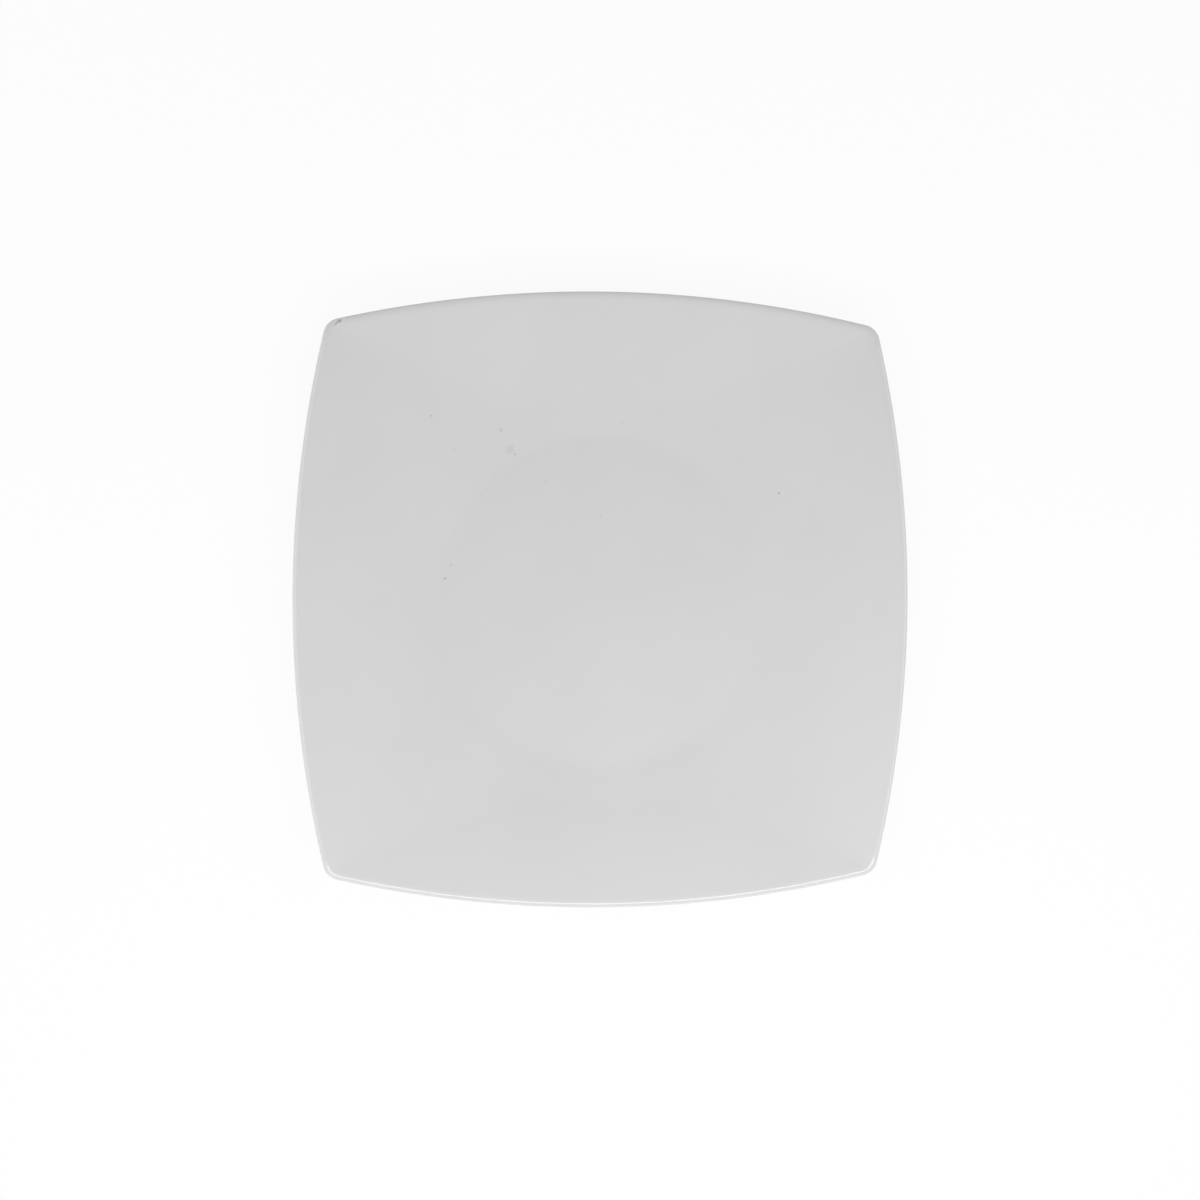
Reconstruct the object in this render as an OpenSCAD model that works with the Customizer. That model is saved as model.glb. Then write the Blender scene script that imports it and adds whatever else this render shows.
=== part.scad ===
// Square porcelain plate with bowed sides, a round well and a bare foot ring.
// The clay body is fired in one piece. The glaze lies on it as a thin glass coat, which the
// wiped foot ring parts into two: one over face, edge and underside, one inside the ring.
// The plate stands on the table with the middle of its foot ring at the origin, +Z is up,
// and the middles of its four sides lie on the X and Y axes.

/* [Outline] */
// Width across the middles of two opposite sides
plate_w = 265; // [240:1:300]
// Radius on which each side bows out
side_r = 506; // [420:2:900]
// Radius of each corner
corner_r = 7.5; // [6:0.5:20]

/* [Face] */
// Diameter of the flat floor of the well
floor_d = 140; // [128:1:146]
// Height of the floor above the table
floor_h = 8; // [7:0.25:10]
// Width of the curved step that rings the floor
cove_w = 14; // [10:0.5:18]
// Height that this step adds
cove_h = 1; // [0.4:0.1:3]
// Width over which the flange bends up to its own slope, from the floor outwards
ease_w = 20; // [16:1:26]
// Height above the table at which the flange runs into the rounded edge
rim_h = 22; // [18:0.5:28]

/* [Walls] */
// Upright thickness of the flange beside the foot ring
flange_t = 4.8; // [4:0.1:5.6]
// Upright thickness of the flange at the rounded edge
rim_t = 4.2; // [3.2:0.1:5]
// Depth of the rounded edge, seen from above
lip_w = 4; // [2.5:0.25:6]

/* [Foot ring] */
// Outer diameter of the standing face
foot_d = 153; // [150:1:156]
// Width of the standing face
stand_w = 3; // [2:0.25:4]
// Radius of the two edges of the standing face
edge_r = 0.8; // [0.4:0.1:1]
// Lean of the ring's two walls, in degrees
wall_lean = 12; // [4:1:20]
// Radius of the hollow between the outer wall and the underside
root_r = 1.6; // [1:0.1:2]
// Width of the flat land round that hollow
land_w = 1.4; // [1:0.1:2]
// Height of the recess inside the ring
recess_h = 3; // [2.5:0.25:4]
// Radius of the hollow between the inner wall and the recess
recess_r = 1.2; // [0.8:0.1:1.6]

/* [Glaze] */
// Thickness of the glaze, measured upright and at the edge
glaze_t = 0.3; // [0.2:0.05:0.4]
// Height of the bare porcelain that the wiped foot ring shows
bare_h = 1.2; // [1:0.05:1.4]

/* [Fineness] */
// Flats along each bowed side
side_steps = 12; // [8:1:13]
// Flats round each corner
corner_steps = 14; // [8:1:16]
// Flats across the rounded edge, from the face to the underside
lip_steps = 8; // [6:2:8]
// Flats across each small curve of the foot ring
arc_steps = 5; // [3:1:6]

/* [Hidden] */
clay_colour = [0.93, 0.92, 0.90];
glaze_colour = [0.87, 0.87, 0.87];
$fn = 180;

// Sizes of the clay body, which the glaze brings up to the sizes above
clay_half = plate_w / 2 - glaze_t;
clay_side_r = side_r - glaze_t;
clay_corner_r = corner_r - glaze_t;
clay_lip_w = lip_w - glaze_t;
clay_rim_t = rim_t - 2 * glaze_t;
clay_flange_t = flange_t - 2 * glaze_t;
clay_floor_z = floor_h - glaze_t;
clay_rim_z = rim_h - glaze_t;
clay_recess_z = recess_h + glaze_t;

// Where the arcs of the outline meet: the middles of the arcs, and half the turn of a side
bow_centre = clay_side_r - clay_half;
corner_centre = (sqrt(2 * pow(clay_side_r - clay_corner_r, 2) - pow(bow_centre, 2)) - bow_centre) / 2;
side_half_turn = atan2(corner_centre, corner_centre + bow_centre);

// Directions that the plate's edge faces: along one side, round one corner, and once round
side_turns = [for (i = [0:side_steps - 1]) mix(-side_half_turn, side_half_turn, i / side_steps)];
corner_turns = [for (i = [0:corner_steps - 1]) mix(side_half_turn, 90 - side_half_turn, i / corner_steps)];
turns = [for (quarter = [0:3], turn = concat(side_turns, corner_turns)) 90 * quarter + turn];

// Shares of the way at which rows of points lie on the face and the underside
cove_shares = [0, 0.25, 0.5, 0.75, 1];
flange_shares = [0, 0.5];
under_shares = [0.5, 1];

floor_r = floor_d / 2;

// The land round the foot ring lies at one height all the way round
side_reach = clay_half - clay_lip_w;
beside_foot_r = foot_d / 2 + edge_r + root_r;
land_z = face_z(beside_foot_r, side_reach) - clay_flange_t;
land_r = root_centre_r(1, land_z, root_r);
land_end_r = land_r + land_w;

// The round foot is sunk into the plate. The plate's loft ends within the land, in a pocket
// under the floor, and the foot fills that, goes on into the clay and reaches out on the land.
pocket_r = mix(land_r, land_end_r, 0.25);
foot_reach_r = mix(land_r, land_end_r, 0.6);
core_r = min(floor_r, stand_r(-1));
face_over_land_z = face_z(land_r, reach_at(45));
pocket_share = 1 / 3;
foot_share = 2 / 3;

// The plate is round past the well and the land. From round_r straight lines fan out to the outline.
round_r = max(floor_r + ease_w, floor_r + cove_w + land_w, land_end_r + land_w);

function mix(a, b, share) = a + (b - a) * share;
function backwards(list) = [for (i = [1:len(list)]) list[len(list) - i]];
function facing(turn) = [cos(turn), sin(turn)];
function turned(p, turn) = p[0] * facing(turn) + p[1] * facing(turn + 90);

// Point of the clay's outline that faces the direction turn, moved in by inset
function edge_point(turn, inset) =
    let (
        quarter = round(turn / 90),
        own_turn = turn - 90 * quarter,
        on_side = abs(own_turn) <= side_half_turn,
        radius = (on_side ? clay_side_r : clay_corner_r) - inset,
        centre = on_side ? [-bow_centre, 0] : [corner_centre, sign(own_turn) * corner_centre]
    )
    turned(centre + radius * facing(own_turn), 90 * quarter);

// Point of the plan at the distance far from the middle, measured towards the direction turn.
// reach is how far the edge lies that way, where the flange runs into the rounded edge.
function reach_at(turn) = edge_point(turn, clay_lip_w) * facing(turn);
function plan_point(turn, far) =
    let (share = max(far - round_r, 0) / (reach_at(turn) - round_r))
    mix(min(far, round_r) * facing(turn), edge_point(turn, clay_lip_w), share);

// Height of the clay's face: a smooth step round the floor, and a ramp that eases in
function cove_rise(out) =
    let (share = min(max(out / cove_w, 0), 1))
    cove_h * share * share * (3 - 2 * share);
function ramp_run(out) = out < ease_w ? out * out / (2 * ease_w) : out - ease_w / 2;
function flange_slope(reach) = (clay_rim_z - clay_floor_z - cove_h) / ramp_run(reach - floor_r);
function face_z(far, reach) =
    clay_floor_z + cove_rise(far - floor_r) + flange_slope(reach) * ramp_run(far - floor_r);

// Height of the clay's underside, which leaves the land and tapers to the rounded edge
function under_z(far, reach) =
    face_z(far, reach)
    - mix(face_z(land_end_r, reach) - land_z, clay_rim_t, (far - land_end_r) / (reach - land_end_r));

// Section through the plate where its edge faces the direction turn, from the floor's rim over
// the rounded edge to the land. out is the distance out from the clay's surface.
function section(turn, out) =
    let (reach = reach_at(turn))
    concat(
        [for (s = cove_shares) face_point(turn, mix(floor_r, floor_r + cove_w, s), reach, out)],
        [for (s = flange_shares) face_point(turn, mix(round_r, reach, s), reach, out)],
        [for (i = [0:lip_steps]) lip_point(turn, 180 * i / lip_steps, flange_slope(reach), out)],
        [for (s = under_shares) under_point(turn, mix(reach, round_r, s), reach, out)],
        [for (s = under_shares) under_point(turn, mix(round_r, land_end_r, s), reach, out)],
        [concat(plan_point(turn, pocket_r), land_z - out)]
    );
function face_point(turn, far, reach, out) = concat(plan_point(turn, far), face_z(far, reach) + out);
function under_point(turn, far, reach, out) = concat(plan_point(turn, far), under_z(far, reach) - out);

// Point on the rounded edge, which rolls half a turn from the face to the underside
function lip_point(turn, roll, slope, out) =
    let (
        depth = (clay_lip_w + out) * sin(roll),
        drop = (clay_rim_t / 2 + out) * (1 - cos(roll))
    )
    concat(edge_point(turn, clay_lip_w - depth), clay_rim_z + out - drop + slope * depth);

// Closed solid from the sections all round. It starts and ends on the Z axis. From the row
// back_row on, the sections run back, and the flats are split as on the surface that they meet.
module round_loft(sections, start_z, end_z, back_row = undef) {
    count = len(sections);
    rows = len(sections[0]);
    last_out = is_undef(back_row) ? rows : back_row - 1;
    points = concat([for (section = sections) each section], [[0, 0, start_z], [0, 0, end_z]]);
    faces = [
        for (j = [0:count - 1])
            let (a = j * rows, b = (j + 1) % count * rows)
            each concat(
                [[count * rows, b, a]],
                [for (i = [0:rows - 2]) each flats(a + i, b + i, i > last_out)],
                [[count * rows + 1, a + rows - 1, b + rows - 1]]
            )
    ];
    polyhedron(points, faces, convexity = 6);
}
function flats(a, b, runs_back) =
    runs_back
        ? [[a, b, a + 1], [b, b + 1, a + 1]]
        : [[a, b, b + 1], [a, b + 1, a + 1]];

// Foot ring in section, as points of radius and height. side is 1 for the outer wall and -1 for
// the inner one, and out is the distance out from the clay's surface.
function stand_r(side) = side > 0 ? foot_d / 2 : foot_d / 2 - stand_w;
function wall_r(side, z, out) =
    stand_r(side) + side * ((edge_r + out) / cos(wall_lean) + (z - edge_r) * tan(wall_lean));
function root_centre_r(side, top_z, bend_r) = wall_r(side, top_z - bend_r, bend_r);

// Edge of the standing face, from the wall to the face
function stand_edge(side) = [
    for (i = [0:arc_steps])
        let (a = mix(wall_lean, 90, i / arc_steps))
        [stand_r(side) + side * edge_r * cos(a), edge_r - edge_r * sin(a)]
];

// Hollow between a wall and the flat surface at top_z, from the wall to the flat
function root_curve(side, top_z, bend_r, out) = [
    for (i = [0:arc_steps])
        let (a = mix(wall_lean, 90, i / arc_steps), own_r = bend_r - out)
        [root_centre_r(side, top_z, bend_r) - side * own_r * cos(a), top_z - bend_r + own_r * sin(a)]
];

// Glaze on one wall of the ring and the flat surface beside it, out to the radius end_r
function coat_curve(side, top_z, bend_r, end_r, out) =
    concat(
        [[wall_r(side, bare_h, out), bare_h]],
        root_curve(side, top_z, bend_r, out),
        [[end_r, top_z - out]]
    );
module wall_coat(side, top_z, bend_r, end_r) {
    rotate_extrude()
        polygon(concat(
            coat_curve(side, top_z, bend_r, end_r, 0),
            backwards(coat_curve(side, top_z, bend_r, end_r, glaze_t))
        ));
}

// Heights within the clay, at a share of the way up to the face: under the floor, and at the land
function core_z(share) = mix(clay_recess_z, clay_floor_z, share);
function rim_core_z(share) = mix(land_z, face_over_land_z, share);

module foot() {
    rotate_extrude()
        polygon(concat(
            [[0, core_z(foot_share)], [0, clay_recess_z]],
            backwards(root_curve(-1, clay_recess_z, recess_r, 0)),
            stand_edge(-1),
            backwards(stand_edge(1)),
            root_curve(1, land_z, root_r, 0),
            [[foot_reach_r, land_z], [foot_reach_r, rim_core_z(foot_share)], [core_r, core_z(foot_share)]]
        ));
}

module porcelain_body() {
    color(clay_colour) {
        round_loft(
            [for (turn = turns) concat(section(turn, 0), [
                concat(plan_point(turn, pocket_r), rim_core_z(pocket_share)),
                concat(plan_point(turn, core_r), core_z(pocket_share))
            ])],
            clay_floor_z,
            core_z(pocket_share)
        );
        foot();
    }
}

module glaze_coat() {
    color(glaze_colour) {
        round_loft(
            [for (turn = turns) concat(section(turn, glaze_t), backwards(section(turn, 0)))],
            clay_floor_z + glaze_t,
            clay_floor_z,
            len(section(0, 0))
        );
        wall_coat(1, land_z, root_r, foot_reach_r);
    }
}

module recess_glaze() {
    color(glaze_colour)
        wall_coat(-1, clay_recess_z, recess_r, 0);
}

porcelain_body();
glaze_coat();
recess_glaze();
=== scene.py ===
import math

import bpy
import numpy as np
from mathutils import Matrix, Vector


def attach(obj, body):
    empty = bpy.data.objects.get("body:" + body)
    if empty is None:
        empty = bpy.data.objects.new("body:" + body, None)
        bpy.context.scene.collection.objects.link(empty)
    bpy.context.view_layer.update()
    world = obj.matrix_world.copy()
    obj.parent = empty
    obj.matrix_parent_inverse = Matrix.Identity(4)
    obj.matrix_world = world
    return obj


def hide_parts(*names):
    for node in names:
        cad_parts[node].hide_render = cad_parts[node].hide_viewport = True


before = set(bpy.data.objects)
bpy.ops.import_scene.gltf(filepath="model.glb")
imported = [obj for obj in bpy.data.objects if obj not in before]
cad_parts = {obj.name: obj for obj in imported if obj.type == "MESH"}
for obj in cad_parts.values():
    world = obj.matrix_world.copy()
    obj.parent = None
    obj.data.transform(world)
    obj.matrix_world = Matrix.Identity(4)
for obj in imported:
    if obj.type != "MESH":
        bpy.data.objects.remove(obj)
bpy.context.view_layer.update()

scene = bpy.context.scene
scene.view_settings.view_transform = "Standard"
mm = 0.001
print("frame loaded:", sorted(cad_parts))


# Sizes of the finished plate in millimetres, the same as in its CAD model
plate = {
    "width": 265,            # across the middles of two opposite sides
    "sideRadius": 506,
    "cornerRadius": 7.5,
    "floorWidth": 140,       # flat floor of the well
    "floorHeight": 8,
    "coveWidth": 14,         # curved step round the floor
    "coveHeight": 1,
    "easeWidth": 20,         # over this the flange bends up to its own slope
    "rimHeight": 22,
    "flangeThickness": 4.8,  # beside the foot ring
    "rimThickness": 4.2,
    "lipWidth": 4,
    "glaze": 0.3,
}
foot = {
    "width": 153,            # outer diameter of the standing face
    "standWidth": 3,
    "edgeRadius": 0.8,
    "wallLean": 12,          # degrees
    "rootRadius": 1.6,
    "landWidth": 1.4,
    "recessHeight": 3,
    "recessRadius": 1.2,
    "bareHeight": 1.2,       # wiped free of glaze up to here
}

# How fine the meshes are
fineness = {
    "sideColumns": 48,       # along one side of the plate
    "cornerColumns": 32,     # round one corner
    "roundRows": 20,         # on the face, as far out as the plan is round
    "fanRows": 12,           # from there to the rounded edge
    "edgeRows": 24,
    "landRows": 3,           # on the flat underneath, beside the foot ring
    "bendRows": 9,           # in each hollow and each rounding of the foot ring
    "swellRows": 4,          # down the glaze's last stretch, and round its bead
    "beadRows": 8,
    "capShare": 0.74,        # each circle of a flat disc, as a share of the one outside it
    "searchRows": 161,       # where the face's height is looked up under a mark
}

# The clay body lies one glaze thickness inside the finished sizes
glaze = plate["glaze"]
clayHalf = plate["width"] / 2 - glaze
claySideRadius = plate["sideRadius"] - glaze
clayCornerRadius = plate["cornerRadius"] - glaze
clayLip = plate["lipWidth"] - glaze
clayRim = plate["rimThickness"] - 2 * glaze
clayFloorZ = plate["floorHeight"] - glaze
clayRimZ = plate["rimHeight"] - glaze
clayRecessZ = foot["recessHeight"] + glaze
floorRadius = plate["floorWidth"] / 2
footRadius = foot["width"] / 2
wallLean = math.radians(foot["wallLean"])

# Middles of the arcs that make the outline, and half the turn that one side takes
bowCentre = claySideRadius - clayHalf
cornerCentre = (math.sqrt(2 * (claySideRadius - clayCornerRadius) ** 2 - bowCentre ** 2) - bowCentre) / 2
sideHalfTurn = math.atan2(cornerCentre, cornerCentre + bowCentre)


def mix(a, b, share):
    return a + (b - a) * share


def smooth(share):
    return share * share * (3 - 2 * share)


# Directions that the plate's edge faces: along one side, round one corner, and once round
sideTurns = np.linspace(-sideHalfTurn, sideHalfTurn, fineness["sideColumns"], endpoint=False)
cornerTurns = np.linspace(
    sideHalfTurn, math.pi / 2 - sideHalfTurn, fineness["cornerColumns"], endpoint=False)
turns = np.concatenate([quarter * math.pi / 2 + np.r_[sideTurns, cornerTurns] for quarter in range(4)])
facing = np.stack([np.cos(turns), np.sin(turns)], axis=1)
turnSlack = 1e-9             # a column right on the end of a side belongs to the side


def edgePoints(inset):
    quarter = np.round(turns / (math.pi / 2)) * math.pi / 2
    own = turns - quarter
    onSide = np.abs(own) <= sideHalfTurn + turnSlack
    radius = np.where(onSide, claySideRadius, clayCornerRadius) - inset
    x = np.where(onSide, -bowCentre, cornerCentre) + radius * np.cos(own)
    y = np.where(onSide, 0, np.sign(own) * cornerCentre) + radius * np.sin(own)
    turnedX = x * np.cos(quarter) - y * np.sin(quarter)
    turnedY = x * np.sin(quarter) + y * np.cos(quarter)
    return np.stack([turnedX, turnedY], axis=1)


flangeEnd = edgePoints(clayLip)             # where the flange runs into the rounded edge
reach = np.sum(flangeEnd * facing, axis=1)  # how far off that is, measured the way the edge faces


def rampRun(out):
    ease = plate["easeWidth"]
    return np.where(out < ease, out * out / (2 * ease), out - ease / 2)


def flangeSlope(toEdge):
    return (clayRimZ - clayFloorZ - plate["coveHeight"]) / rampRun(toEdge - floorRadius)


def faceHeight(far, toEdge):
    cove = np.clip((far - floorRadius) / plate["coveWidth"], 0, 1)
    coveRise = plate["coveHeight"] * smooth(cove)
    return clayFloorZ + coveRise + flangeSlope(toEdge) * rampRun(far - floorRadius)


def wallRadius(side, z, out):
    # side is 1 on the outer wall of the foot ring and -1 on the inner one
    stand = footRadius if side > 0 else footRadius - foot["standWidth"]
    lean = (z - foot["edgeRadius"]) * math.tan(wallLean)
    return stand + side * ((foot["edgeRadius"] + out) / math.cos(wallLean) + lean)


besideFoot = footRadius + foot["edgeRadius"] + foot["rootRadius"]
landZ = float(faceHeight(besideFoot, clayHalf - clayLip)) - (plate["flangeThickness"] - 2 * glaze)
landEnd = wallRadius(1, landZ - foot["rootRadius"], foot["rootRadius"]) + foot["landWidth"]
roundRadius = max(
    floorRadius + plate["easeWidth"],
    floorRadius + plate["coveWidth"] + foot["landWidth"],
    landEnd + foot["landWidth"],
)


def circle(radius, z):
    return np.column_stack([radius * facing, np.full(len(turns), z)])


def planPoints(far):
    # round as far as roundRadius, and from there straight lines fan out to the edge
    share = np.maximum(far - roundRadius, 0) / (reach - roundRadius)
    return mix(np.minimum(far, roundRadius)[:, None] * facing, flangeEnd, share[:, None])


def faceRing(far, out):
    far = np.broadcast_to(far, len(turns)).astype(float)
    return np.column_stack([planPoints(far), faceHeight(far, reach) + out])


def underRing(far, out):
    far = np.broadcast_to(far, len(turns)).astype(float)
    depth = mix(faceHeight(landEnd, reach) - landZ, clayRim, (far - landEnd) / (reach - landEnd))
    return np.column_stack([planPoints(far), faceHeight(far, reach) - depth - out])


def faceTop(x, y):
    # height of the glazed face over a point of the plan, read off the nearest column
    if math.hypot(x, y) <= floorRadius:
        return plate["floorHeight"]
    far = np.linspace(0, 1, fineness["searchRows"])[:, None] * reach
    rows = np.stack([planPoints(f) for f in far])
    heights = np.stack([faceHeight(f, reach) for f in far])
    nearest = np.argmin(np.hypot(rows[:, :, 0] - x, rows[:, :, 1] - y))
    return float(heights.flat[nearest]) + glaze


def lipRing(roll, out):
    # the rounded edge rolls half a turn, from the face to the underside
    depth = (clayLip + out) * math.sin(roll)
    drop = (clayRim / 2 + out) * (1 - math.cos(roll))
    height = clayRimZ + out - drop + flangeSlope(reach) * depth
    return np.column_stack([edgePoints(clayLip - depth), height])


def shares(count):
    return np.arange(1, count + 1) / count


def upperRings(out):
    # from the rim of the floor over face, rounded edge and underside to the land by the foot
    return (
        [circle(floorRadius, clayFloorZ + out)]
        + [faceRing(mix(floorRadius, roundRadius, s), out) for s in shares(fineness["roundRows"])]
        + [faceRing(mix(roundRadius, reach, s), out) for s in shares(fineness["fanRows"])]
        + [lipRing(math.pi * s, out) for s in shares(fineness["edgeRows"])]
        + [underRing(mix(reach, roundRadius, s), out) for s in shares(fineness["fanRows"])]
        + [underRing(mix(roundRadius, landEnd, s), out) for s in shares(fineness["landRows"])]
    )


def rootRings(side, topZ, bend, out):
    # hollow between the flat at topZ and a wall of the foot ring
    centre = wallRadius(side, topZ - bend, bend)
    own = bend - out
    angles = np.linspace(math.pi / 2, wallLean, fineness["bendRows"])
    return [circle(centre - side * own * math.cos(a), topZ - bend + own * math.sin(a)) for a in angles]


def standRings(side):
    # rounded edge of the standing face, from the wall to the face
    radius = foot["edgeRadius"]
    stand = wallRadius(side, radius, 0) - side * radius / math.cos(wallLean)
    angles = np.linspace(wallLean, math.pi / 2, fineness["bendRows"])
    return [circle(stand + side * radius * math.cos(a), radius - radius * math.sin(a)) for a in angles]


def beadRings(side, bead):
    # the glaze swells a little above its lower edge and ends there in a rounded bead
    top = foot["bareHeight"] + bead["thickness"]
    rings = []
    for s in shares(fineness["swellRows"])[::-1]:
        z = top + bead["swell"] * s
        rings.append(circle(wallRadius(side, z, mix(bead["thickness"], glaze, smooth(s))), z))
    for a in np.linspace(0, math.pi / 2, fineness["beadRows"]):
        z = top - bead["thickness"] * math.sin(a)
        rings.append(circle(wallRadius(side, z, bead["thickness"] * math.cos(a)), z))
    return rings


def addCap(points, faces, start, facesUp):
    # flat disc inside a ring of points; the number of columns halves from circle to circle
    outer = [start + j for j in range(len(turns))]
    z = points[start][2]
    radius = math.hypot(*points[start][:2])
    step = 1
    while len(outer) % 2 == 0:
        radius *= fineness["capShare"]
        step *= 2
        inner = list(range(len(points), len(points) + len(outer) // 2))
        points += [(*(radius * facing[j]), z) for j in range(0, len(turns), step)]
        for i, j in enumerate(range(0, len(outer), 2)):
            a, b, c = outer[j], outer[j + 1], outer[(j + 2) % len(outer)]
            d, e = inner[i], inner[(i + 1) % len(inner)]
            faces += [f if facesUp else f[::-1] for f in ((a, b, d), (b, c, e), (b, e, d))]
        outer = inner
    faces.append(tuple(outer if facesUp else outer[::-1]))


def makePiece(name, rings):
    # closed smooth mesh: a disc on top, out over the rings and back, and a disc underneath
    count = len(turns)
    lastRing = (len(rings) - 1) * count
    points = [tuple(p) for ring in rings for p in ring]
    faces = []
    for first in range(0, lastRing, count):
        below = first + count
        for j in range(count):
            beside = (j + 1) % count
            faces.append((first + j, below + j, below + beside, first + beside))
    addCap(points, faces, 0, True)
    addCap(points, faces, lastRing, False)
    mesh = bpy.data.meshes.new(name)
    mesh.from_pydata([[c * mm for c in p] for p in points], [], faces)
    mesh.polygons.foreach_set("use_smooth", [True] * len(mesh.polygons))
    mesh.update()
    piece = bpy.data.objects.new(name, mesh)
    scene.collection.objects.link(piece)
    return piece


# Nodes of a material are written one below the other, each with the sockets that it gets
nodeGap = 220


def newFinish(name):
    finish = bpy.data.materials.new(name)
    finish.use_nodes = True
    finish.node_tree.nodes.clear()
    return finish


def addNode(finish, kind, column, row, settings=None, sockets=None):
    node = finish.node_tree.nodes.new(kind)
    node.location = (column * nodeGap, -row * nodeGap)
    for key, value in (settings or {}).items():
        setattr(node, key, value)
    for key, value in (sockets or {}).items():
        if isinstance(value, bpy.types.NodeSocket):
            finish.node_tree.links.new(value, node.inputs[key])
        else:
            node.inputs[key].default_value = value
    return node


def addNoise(finish, column, row, spot, noise):
    sockets = {
        "Vector": spot,
        "Scale": 1 / noise["size"],
        "Detail": noise["detail"],
        "Roughness": noise["roughness"],
    }
    return addNode(finish, "ShaderNodeTexNoise", column, row, {}, sockets).outputs["Fac"]


def addRange(finish, column, row, value, span, result):
    # turns the span of a value into the result's span, with soft ends
    settings = {"interpolation_type": "SMOOTHSTEP"}
    sockets = {
        "Value": value,
        "From Min": span[0],
        "From Max": span[1],
        "To Min": result[0],
        "To Max": result[1],
    }
    return addNode(finish, "ShaderNodeMapRange", column, row, settings, sockets).outputs["Result"]


def addMix(finish, column, row, share, a, b):
    node = addNode(finish, "ShaderNodeMix", column, row, {"data_type": "RGBA"}, {0: share})
    for index, value in ((6, a), (7, b)):
        if isinstance(value, bpy.types.NodeSocket):
            finish.node_tree.links.new(value, node.inputs[index])
        else:
            node.inputs[index].default_value = value
    return node.outputs[2]


def addMath(finish, column, row, operation, a, b):
    settings = {"operation": operation}
    return addNode(finish, "ShaderNodeMath", column, row, settings, {0: a, 1: b}).outputs[0]


def addBump(finish, column, row, height, depth, normal=None):
    sockets = {"Strength": 1, "Distance": depth, "Height": height}
    if normal is not None:
        sockets["Normal"] = normal
    return addNode(finish, "ShaderNodeBump", column, row, {}, sockets).outputs[0]


noiseSpan = (0.3, 0.7)       # nearly all values of a noise lie between these
refraction = 1.5             # of glaze and fired clay alike


def addSurface(finish, colour, roughness, normal):
    sockets = {"Base Color": colour, "Roughness": roughness, "IOR": refraction, "Normal": normal}
    shader = addNode(finish, "ShaderNodeBsdfPrincipled", 5, 0, {}, sockets)
    addNode(finish, "ShaderNodeOutputMaterial", 6, 0, {}, {"Surface": shader.outputs[0]})


# Glaze: clear glass over white clay, so one smooth gloss with hardly any colour of its own.
# Sizes and depths of noises are in metres, and a pair of numbers is a least and a greatest value.
glazeLook = {
    "light": (0.680, 0.680, 0.680, 1),
    "dark": (0.668, 0.668, 0.669, 1),
    "cloud": {"size": 0.045, "detail": 3, "roughness": 0.5},
    "roughness": (0.07, 0.10),
    "smear": {"size": 0.018, "detail": 4, "roughness": 0.5},
    "peel": {"size": 0.0022, "detail": 1, "roughness": 0.5},   # faint orange peel
    "peelDepth": 0.000006,
    "roll": {"size": 0.016, "detail": 1, "roughness": 0.5},    # slow roll of the glass
    "rollDepth": 0.00003,
    # colour of the specks, and of the painted dark reflection at one corner
    "speckAndReflectionColour": (0.30, 0.29, 0.28, 1),
    "markCore": 0.35,        # share of a mark's radius that has its full strength
}


def addDots(finish, spot, marks):
    # small round darkenings of the glaze's colour, each a share that fades at its rim: specks, and at
    # one corner a painted dark reflection
    dots = None
    for row, (x, y, radius, strength) in enumerate(marks, 5):
        sockets = {0: spot, 1: (x * mm, y * mm, faceTop(x, y) * mm)}
        distance = addNode(finish, "ShaderNodeVectorMath", 1, row, {"operation": "DISTANCE"}, sockets)
        span = (glazeLook["markCore"] * radius * mm, radius * mm)
        dot = addRange(finish, 2, row, distance.outputs["Value"], span, (strength, 0))
        dots = dot if dots is None else addMath(finish, 3, row, "MAXIMUM", dots, dot)
    return dots


def glazeFinish(name, marks):
    look = glazeLook
    finish = newFinish(name)
    spot = addNode(finish, "ShaderNodeTexCoord", 0, 0).outputs["Object"]
    cloud = addNoise(finish, 1, 0, spot, look["cloud"])
    cloud = addRange(finish, 2, 0, cloud, noiseSpan, (0, 1))
    colour = addMix(finish, 3, 0, cloud, look["dark"], look["light"])
    smear = addNoise(finish, 1, 1, spot, look["smear"])
    rough = addRange(finish, 2, 1, smear, noiseSpan, look["roughness"])
    peel = addNoise(finish, 1, 2, spot, look["peel"])
    roll = addNoise(finish, 1, 3, spot, look["roll"])
    fine = addBump(finish, 3, 2, peel, look["peelDepth"])
    coarse = addBump(finish, 4, 3, roll, look["rollDepth"], fine)
    if marks:
        colour = addMix(finish, 4, 0, addDots(finish, spot, marks), colour, look["speckAndReflectionColour"])
    addSurface(finish, colour, rough, coarse)
    return finish


# Bare clay where the foot was wiped and ground: matt, fine grain, a little rubbed-in grey
clayLook = {
    "light": (0.76, 0.745, 0.715, 1),
    "dark": (0.66, 0.64, 0.605, 1),
    "grain": {"size": 0.0006, "detail": 3, "roughness": 0.6},
    "grainDepth": 0.00003,
    "stain": {"size": 0.012, "detail": 5, "roughness": 0.6},
    "stainSpan": (0.52, 0.75),   # the noise below the first value leaves no stain
    "stainShare": 0.35,
    "stainColour": (0.45, 0.44, 0.42, 1),
    "roughness": (0.62, 0.80),
}


def clayFinish(name):
    look = clayLook
    finish = newFinish(name)
    spot = addNode(finish, "ShaderNodeTexCoord", 0, 0).outputs["Object"]
    grain = addNoise(finish, 1, 0, spot, look["grain"])
    stain = addNoise(finish, 1, 1, spot, look["stain"])
    cloud = addRange(finish, 2, 0, grain, noiseSpan, (0, 1))
    colour = addMix(finish, 3, 0, cloud, look["dark"], look["light"])
    stain = addRange(finish, 2, 1, stain, look["stainSpan"], (0, look["stainShare"]))
    colour = addMix(finish, 4, 0, stain, colour, look["stainColour"])
    rough = addRange(finish, 2, 2, grain, noiseSpan, look["roughness"])
    addSurface(finish, colour, rough, addBump(finish, 3, 2, grain, look["grainDepth"]))
    return finish


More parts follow.
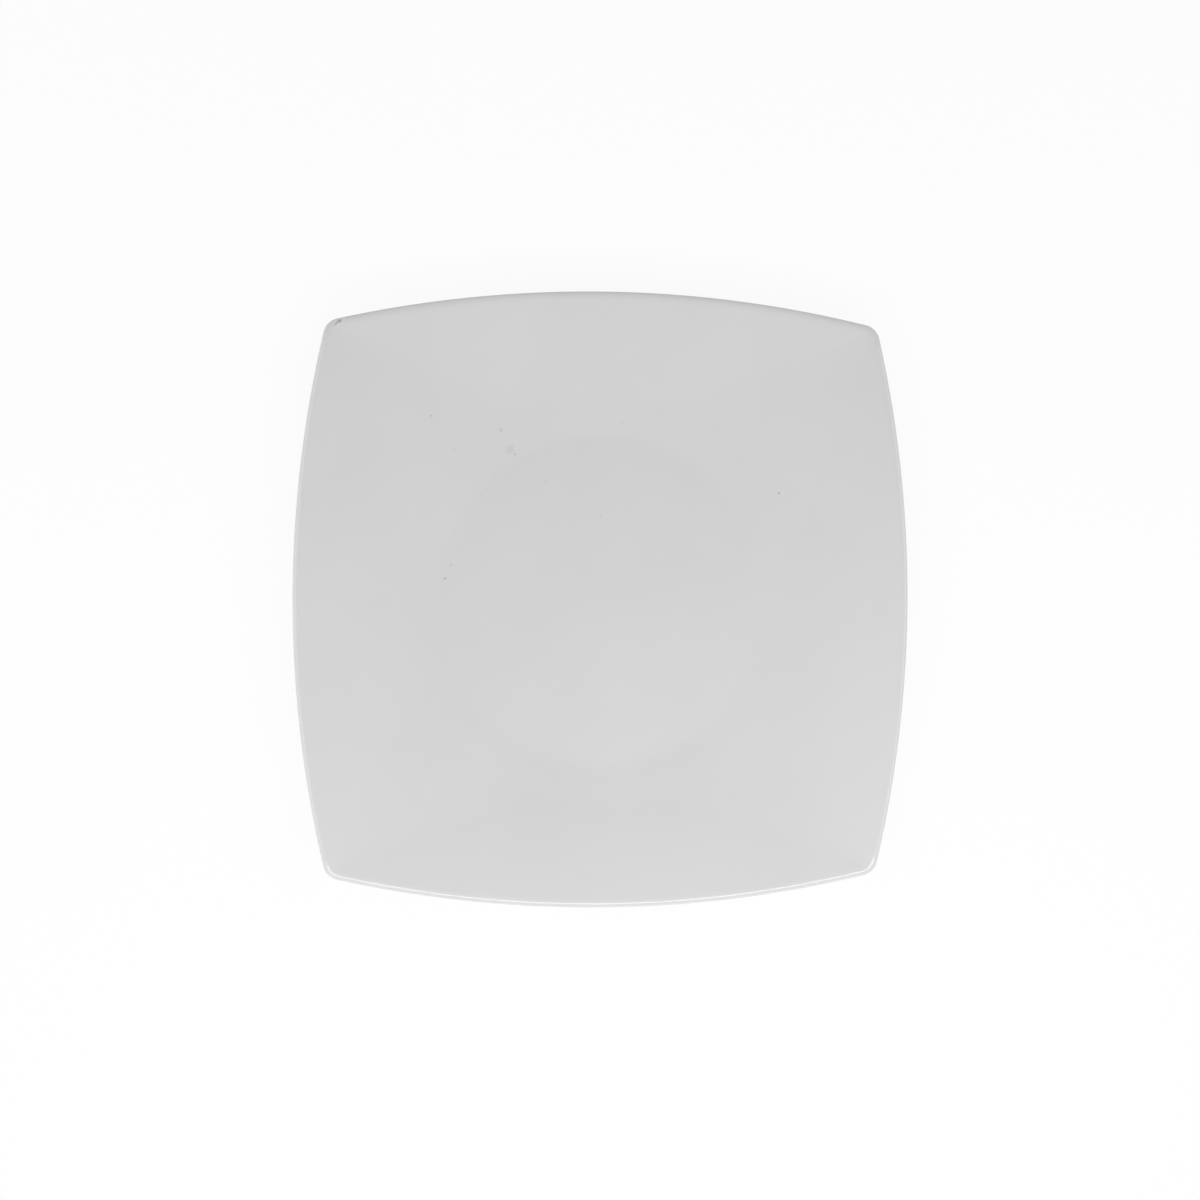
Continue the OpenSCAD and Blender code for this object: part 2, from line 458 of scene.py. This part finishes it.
def standFor(piece, finish, node):
    piece.data.materials.append(finish)
    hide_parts(node)
    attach(piece, "root")
    print(piece.name, "stands for", node, "with", len(piece.data.vertices), "points")


firedBody = makePiece(
    "firedBody",
    upperRings(0)
    + rootRings(1, landZ, foot["rootRadius"], 0)
    + standRings(1)
    + standRings(-1)[::-1]
    + rootRings(-1, clayRecessZ, foot["recessRadius"], 0)[::-1],
)
standFor(firedBody, clayFinish("bareClay"), "porcelain_body")

# Pinholes and dust specks fired into the face, and a painted dark reflection on one corner's rounded
# edge: x, y and radius in millimetres, and strength
specksAndPaintedReflection = [
    (-74.5, 79.5, 0.60, 0.40),
    (-44.5, 74.1, 1.05, 0.24),
    (-64.8, 65.2, 0.75, 0.16),
    (-53.2, 46.5, 0.60, 0.16),
    (-28.5, 85.9, 0.60, 0.16),
    (-24.9, 52.0, 0.60, 0.16),
    (-66.2, 15.1, 0.90, 0.22),
    (-68.8, 9.2, 0.80, 0.50),
    (77.7, 47.3, 0.90, 0.40),
    (-0.5, 37.2, 0.60, 0.22),
    (8.5, 77.6, 0.60, 0.22),
    (-40.6, 65.7, 2.60, 0.15),     # smudge with a dark speck beside it
    (-38.4, 63.6, 0.80, 0.36),
    (-112.6, 118.3, 0.95, 0.80),   # painted dark reflection on the corner's rounded edge, and its tail
    (-113.5, 117.6, 0.75, 0.70),
    (-114.2, 116.9, 0.65, 0.55),
    (-114.9, 116.2, 0.55, 0.30),
]
glazeEdge = {
    "thickness": 0.36,       # of the bead where the glaze ends
    "swell": 0.45,           # height over which it grows to that
}

glazeCoat = makePiece(
    "glazeCoat",
    upperRings(glaze)
    + rootRings(1, landZ, foot["rootRadius"], glaze)
    + beadRings(1, glazeEdge)
    + rootRings(1, landZ, foot["rootRadius"], 0)[::-1]
    + upperRings(0)[::-1],
)
standFor(glazeCoat, glazeFinish("whiteGlaze", specksAndPaintedReflection), "glaze_coat")

recessGlaze = makePiece(
    "recessGlaze",
    rootRings(-1, clayRecessZ, foot["recessRadius"], 0)
    + beadRings(-1, glazeEdge)[::-1]
    + rootRings(-1, clayRecessZ, foot["recessRadius"], glaze)[::-1],
)
standFor(recessGlaze, glazeFinish("recessWhiteGlaze", []), "recess_glaze")


def addSeen(finish):
    # 1 where the camera, the gloss or a clear body sees the surface, and 0 where it only gives light
    rays = addNode(finish, "ShaderNodeLightPath", 0, 0)
    seen = addMath(finish, 1, 0, "MAXIMUM", rays.outputs["Is Camera Ray"], rays.outputs["Is Glossy Ray"])
    return addMath(finish, 2, 0, "MAXIMUM", seen, rays.outputs["Is Transmission Ray"])


# White table: the camera and the gloss see it nearly white all over, with a soft shadow
table = {
    "size": 6.0,
    "colour": (0.95, 0.95, 0.95, 1),
    "shadow": 0.1,           # share of the real, shaded surface that is seen
}
plainWhite = {"Color": (1, 1, 1, 1), "Strength": 1}


def makeTable():
    half = table["size"] / 2
    mesh = bpy.data.meshes.new("tableTop")
    corners = [(-half, -half, 0), (half, -half, 0), (half, half, 0), (-half, half, 0)]
    mesh.from_pydata(corners, [], [(0, 1, 2, 3)])
    top = bpy.data.objects.new("tableTop", mesh)
    scene.collection.objects.link(top)
    finish = newFinish("whiteTable")
    share = addMath(finish, 3, 0, "MULTIPLY", addSeen(finish), 1 - table["shadow"])
    matt = addNode(finish, "ShaderNodeBsdfDiffuse", 3, 1, {}, {"Color": table["colour"]})
    white = addNode(finish, "ShaderNodeEmission", 3, 2, {}, plainWhite)
    sockets = {0: share, 1: matt.outputs[0], 2: white.outputs[0]}
    both = addNode(finish, "ShaderNodeMixShader", 4, 0, {}, sockets)
    addNode(finish, "ShaderNodeOutputMaterial", 5, 0, {}, {"Surface": both.outputs[0]})
    mesh.materials.append(finish)


# Room: plain soft light from all round, and white wherever the camera or the gloss sees it
room = {"glow": 0.473}


def makeRoom():
    world = bpy.data.worlds.new("studioRoom")
    scene.world = world
    world.use_nodes = True
    world.node_tree.nodes.clear()
    light = {"Color": (1, 1, 1, 1), "Strength": room["glow"]}
    plain = addNode(world, "ShaderNodeBackground", 1, 1, {}, light)
    white = addNode(world, "ShaderNodeBackground", 1, 2, {}, plainWhite)
    sockets = {0: addSeen(world), 1: plain.outputs[0], 2: white.outputs[0]}
    both = addNode(world, "ShaderNodeMixShader", 3, 0, {}, sockets)
    addNode(world, "ShaderNodeOutputWorld", 4, 0, {}, {"Surface": both.outputs[0]})


makeTable()
makeRoom()
print("table and room made")

# Soft boxes: where each one stands, its width and height, and how bright its white face looks
softBoxes = {
    "nearFront": {"at": (0.02, -0.31, 0.47), "size": (0.70, 0.11), "glow": 5.6},
    "leftFill": {"at": (-0.74, 0, 0.79), "size": (0.80, 0.42), "glow": 1.4},
    "rightFill": {"at": (0.82, 0, 0.72), "size": (0.80, 0.42), "glow": 1.6},
    "leftStrip": {"at": (-0.60, 0, 0.05), "size": (1.00, 0.08), "glow": 3.0},
    "rightStrip": {"at": (0.60, 0, 0.05), "size": (1.00, 0.08), "glow": 0.9},
    "frontStrip": {"at": (0, -0.60, 0.05), "size": (1.00, 0.08), "glow": 1.6},
}


def makeSoftBox(name, box):
    light = bpy.data.lights.new(name, "AREA")
    light.shape = "RECTANGLE"
    light.size, light.size_y = box["size"]
    light.energy = box["glow"] * math.pi * light.size * light.size_y
    lamp = bpy.data.objects.new(name, light)
    lamp.location = box["at"]
    lamp.rotation_euler = Vector(box["at"]).to_track_quat("Z", "Y").to_euler()
    scene.collection.objects.link(lamp)


for name, box in softBoxes.items():
    makeSoftBox(name, box)
print("lights:", ", ".join(softBoxes))

# Camera nearly straight above, leaning a little as in the photograph
view = {
    "aim": (-0.00050, -0.00013, 0),
    "distance": 0.6,
    "leanX": 3.074,          # degrees
    "leanY": -0.563,
    "roll": -0.153,
    "lens": 40.37,
    "sensor": 36,
    "clip": (0.01, 20),      # nearest and farthest that it sees
}


def makeCamera():
    leanX, leanY, roll = (math.radians(view[key]) for key in ("leanX", "leanY", "roll"))
    down = Vector((math.sin(leanX), math.sin(leanY), 0))
    down.z = -math.sqrt(1 - down.length_squared)
    right = down.cross(Vector((math.sin(roll), math.cos(roll), 0))).normalized()
    turned = Matrix((right, right.cross(down), -down)).transposed().to_4x4()
    camera = bpy.data.objects.new("camera", bpy.data.cameras.new("camera"))
    camera.data.lens = view["lens"]
    camera.data.sensor_width = view["sensor"]
    camera.data.clip_start, camera.data.clip_end = view["clip"]
    camera.matrix_world = Matrix.Translation(Vector(view["aim"]) - down * view["distance"]) @ turned
    scene.collection.objects.link(camera)
    scene.camera = camera


makeCamera()
print("camera set")
